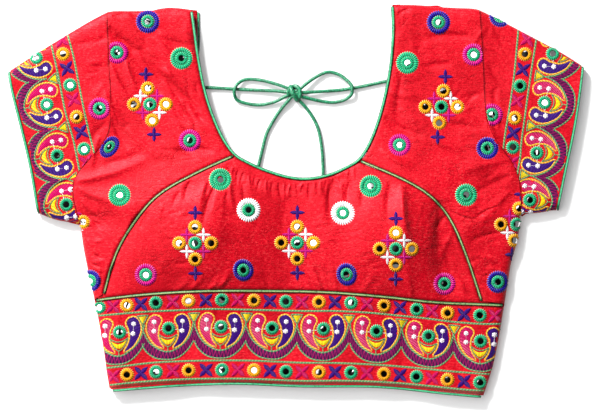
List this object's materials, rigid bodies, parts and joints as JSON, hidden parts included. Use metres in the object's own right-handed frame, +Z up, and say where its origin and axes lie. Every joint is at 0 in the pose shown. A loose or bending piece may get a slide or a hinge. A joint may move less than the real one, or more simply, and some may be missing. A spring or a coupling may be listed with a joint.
{
  "type": "choli blouse",
  "caption": "Short-sleeved princess-cut choli blouse with a deep round neck, bordered band and tie cord, laid flat on its back.",
  "frame": {"origin": "on the floor, under the middle of the blouse's bounding box", "axes": "+X from the left cuff to the right cuff as laid, +Y from the hem to the shoulders, +Z up off the floor, out of the front"},
  "size_m": [0.5592, 0.3818, 0.0309],
  "materials": {
    "red_raw_silk": "slubbed raw silk with a soft sheen",
    "green_piping": "satin bias over a cord",
    "green_dori": "satin tube cord",
    "hook_steel": "plated wire"
  },
  "bodies": {
    "root": {"front_centre": "red_raw_silk", "front_side_left": "red_raw_silk", "front_side_right": "red_raw_silk", "front_band": "red_raw_silk", "back_left": "red_raw_silk", "back_right": "red_raw_silk", "sleeve_left": "red_raw_silk", "sleeve_right": "red_raw_silk", "neck_piping_front": "green_piping", "neck_piping_back_left": "green_piping", "neck_piping_back_right": "green_piping", "princess_piping_left": "green_piping", "princess_piping_right": "green_piping", "band_piping_top": "green_piping", "hem_piping": "green_piping", "cuff_piping_left": "green_piping", "cuff_piping_right": "green_piping", "dori_left_span": "green_dori", "dori_left_loop": "green_dori", "dori_left_tail": "green_dori", "dori_right_span": "green_dori", "dori_right_loop": "green_dori", "dori_right_tail": "green_dori", "dori_knot": "green_dori", "back_hook_1": "hook_steel", "back_hook_2": "hook_steel", "back_hook_3": "hook_steel", "back_hook_4": "hook_steel"}
  },
  "joints": []
}
